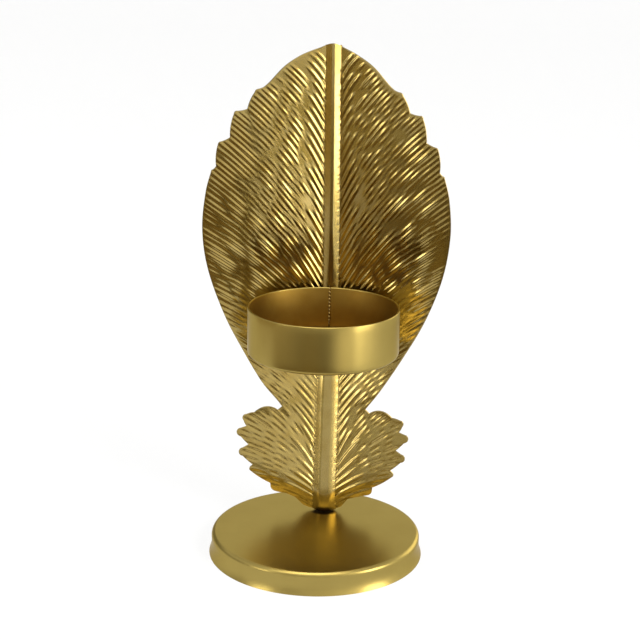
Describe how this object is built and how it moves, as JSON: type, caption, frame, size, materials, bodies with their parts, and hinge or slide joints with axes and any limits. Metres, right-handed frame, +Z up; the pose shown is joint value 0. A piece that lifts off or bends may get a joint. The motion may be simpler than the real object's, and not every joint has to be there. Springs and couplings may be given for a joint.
{
  "type": "leaf candlestick",
  "caption": "Small tealight candlestick: a pressed metal leaf with serrated edges stands on a round base and carries a shallow cup.",
  "frame": {"origin": "under the middle of the round base, on the surface that the candlestick stands on", "axes": "+Z up, -Y is the front that the leaf's veined face and the cup look towards, +X to the right when seen from the front"},
  "size_m": [0.0703, 0.0608, 0.1424],
  "materials": {
    "base_gold": "satin gold plating on pressed steel",
    "leaf_gold": "gold plating on stamped steel, a little glossier than the base",
    "cup_gold": "satin gold plating on rolled steel",
    "weld_gold": "weld metal under the same gold plating"
  },
  "bodies": {
    "root": {"base_dish": "base_gold", "leaf_panel": "leaf_gold", "foot_weld": "weld_gold", "cup_band": "cup_gold", "cup_floor": "cup_gold", "cup_seam_weld": "weld_gold", "cup_weld_left": "weld_gold", "cup_weld_right": "weld_gold"}
  },
  "joints": []
}
